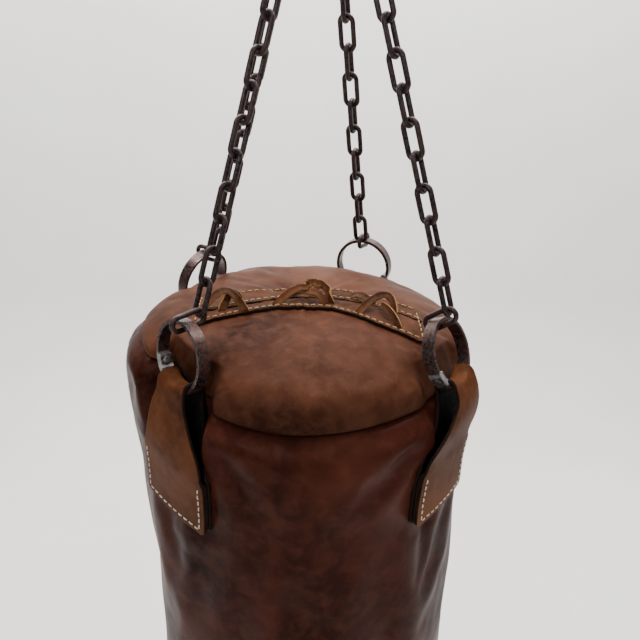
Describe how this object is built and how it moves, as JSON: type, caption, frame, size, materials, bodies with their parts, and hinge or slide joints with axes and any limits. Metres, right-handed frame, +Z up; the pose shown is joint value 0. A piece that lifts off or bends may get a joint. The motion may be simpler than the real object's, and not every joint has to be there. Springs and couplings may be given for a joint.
{
  "type": "hanging heavy punching bag",
  "caption": "Cylindrical stuffed leather punching bag hung by riveted iron rings and converging chains from a swivel eye, with a laced leather top.",
  "frame": {"origin": "centre of the bore of the hanging eye at the top", "axes": "+Z up along the bag's axis, +Y along the eye's bore, away from the side with the two front straps"},
  "size_m": [0.3669, 0.3723, 1.605],
  "materials": {
    "fitting_steel": "dark forged, satin",
    "bright_steel": "dull zinc",
    "chain_steel": "dark rusted, satin",
    "ring_iron": "worn dark iron with rust",
    "rivet_steel": "worn bright",
    "strap_leather": "oiled tan leather with black edges",
    "side_leather": "oiled dark red-brown leather",
    "top_leather": "oiled warm brown leather",
    "facing_leather": "oiled brown leather",
    "thong_leather": "cut leather thong",
    "thread": "waxed cream thread",
    "canvas": "plain canvas",
    "fill": "shredded textile"
  },
  "bodies": {
    "eye": {"swivel_eye": "fitting_steel", "swivel_nut": "bright_steel"},
    "bow": {"swivel_bow": "fitting_steel", "thrust_washer": "bright_steel", "clevis_pin": "bright_steel", "cotter": "bright_steel"},
    "dee": {"master_link": "fitting_steel"},
    "bag": {"chain_fr": "chain_steel", "chain_br": "chain_steel", "chain_bl": "chain_steel", "chain_fl": "chain_steel", "ring_link_fr": "chain_steel", "ring_link_br": "chain_steel", "ring_link_bl": "chain_steel", "ring_link_fl": "chain_steel", "strap_fr": "strap_leather", "strap_br": "strap_leather", "strap_bl": "strap_leather", "strap_fl": "strap_leather", "strap_patch_fr": "strap_leather", "strap_patch_br": "strap_leather", "strap_patch_bl": "strap_leather", "strap_patch_fl": "strap_leather", "strap_stitches_fr": "thread", "strap_stitches_br": "thread", "strap_stitches_bl": "thread", "strap_stitches_fl": "thread", "side_panel": "side_leather", "top_panel": "top_leather", "base_panel": "side_leather", "lining": "canvas", "filling": "fill", "facing_front": "facing_leather", "facing_back": "facing_leather", "facing_stitches": "thread", "thong_left": "thong_leather", "thong_middle": "thong_leather", "thong_right": "thong_leather", "side_seam_stitches": "thread", "base_seam_stitches": "thread"},
    "ring_fr_body": {"ring_fr": "ring_iron", "ring_rivet_fr": "rivet_steel"},
    "ring_br_body": {"ring_br": "ring_iron", "ring_rivet_br": "rivet_steel"},
    "ring_bl_body": {"ring_bl": "ring_iron", "ring_rivet_bl": "rivet_steel"},
    "ring_fl_body": {"ring_fl": "ring_iron", "ring_rivet_fl": "rivet_steel"}
  },
  "joints": [
    {"name": "swivel_spin", "type": "hinge", "parent": "eye", "child": "bow", "pos_m": [0, 0, -0.036], "axis": [0, 0, 1], "continuous": true},
    {"name": "clevis_swing", "type": "hinge", "parent": "bow", "child": "dee", "pos_m": [0, 0, -0.072], "axis": [1, 0, 0], "range_deg": [-30, 30]},
    {"name": "chain_swing", "type": "hinge", "parent": "dee", "child": "bag", "pos_m": [0, 0, -0.12], "axis": [0, 1, 0], "range_deg": [-30, 30]},
    {"name": "ring_rock_fr", "type": "hinge", "parent": "bag", "child": "ring_fr_body", "pos_m": [0.13505, -0.09993, -0.625], "axis": [0.5948, 0.8039, 0], "range_deg": [-2.5, 2.5]},
    {"name": "ring_rock_br", "type": "hinge", "parent": "bag", "child": "ring_br_body", "pos_m": [0.06833, 0.15348, -0.625], "axis": [-0.9135, 0.4067, 0], "range_deg": [-2.5, 2.5]},
    {"name": "ring_rock_bl", "type": "hinge", "parent": "bag", "child": "ring_bl_body", "pos_m": [-0.13505, 0.09993, -0.625], "axis": [-0.5948, -0.8039, 0], "range_deg": [-2.5, 2.5]},
    {"name": "ring_rock_fl", "type": "hinge", "parent": "bag", "child": "ring_fl_body", "pos_m": [-0.12485, -0.11241, -0.625], "axis": [0.6691, -0.7431, 0], "range_deg": [-2.5, 2.5]}
  ]
}
